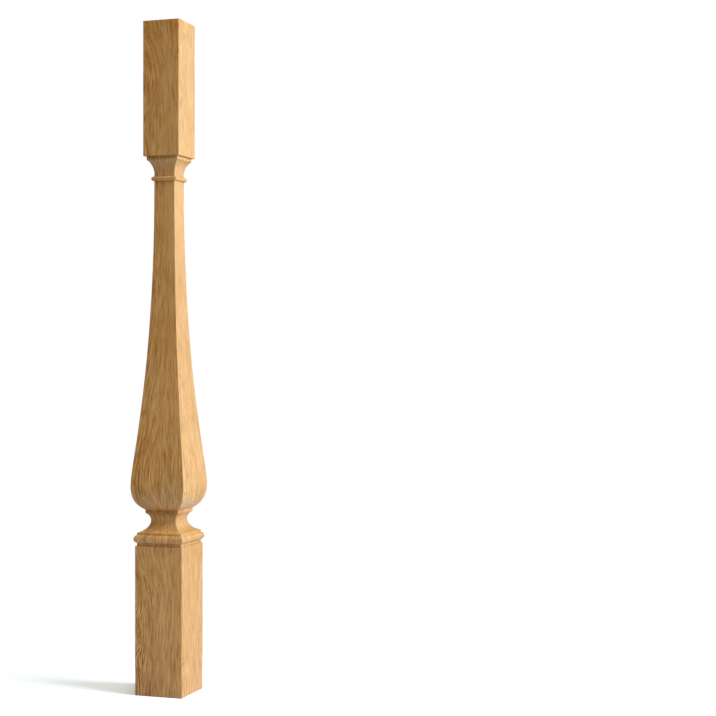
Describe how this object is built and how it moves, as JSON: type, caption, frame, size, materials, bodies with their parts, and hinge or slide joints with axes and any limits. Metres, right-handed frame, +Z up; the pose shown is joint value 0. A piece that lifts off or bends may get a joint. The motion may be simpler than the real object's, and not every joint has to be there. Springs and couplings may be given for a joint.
{
  "type": "carved wooden baluster",
  "caption": "Square-section oak baluster with plain end blocks, a torus and scotia at the foot, a tulip bulb and a long taper to a beaded neck.",
  "frame": {"origin": "centre of the underside", "axes": "+Z up the length of the baluster, X and Y square to its four faces"},
  "size_m": [0.077, 0.077, 0.9],
  "materials": {
    "oak": "planed and sanded oak with a clear satin finish, straight to gently slanting grain with open pores"
  },
  "bodies": {
    "root": {"baluster": "oak"}
  },
  "joints": []
}
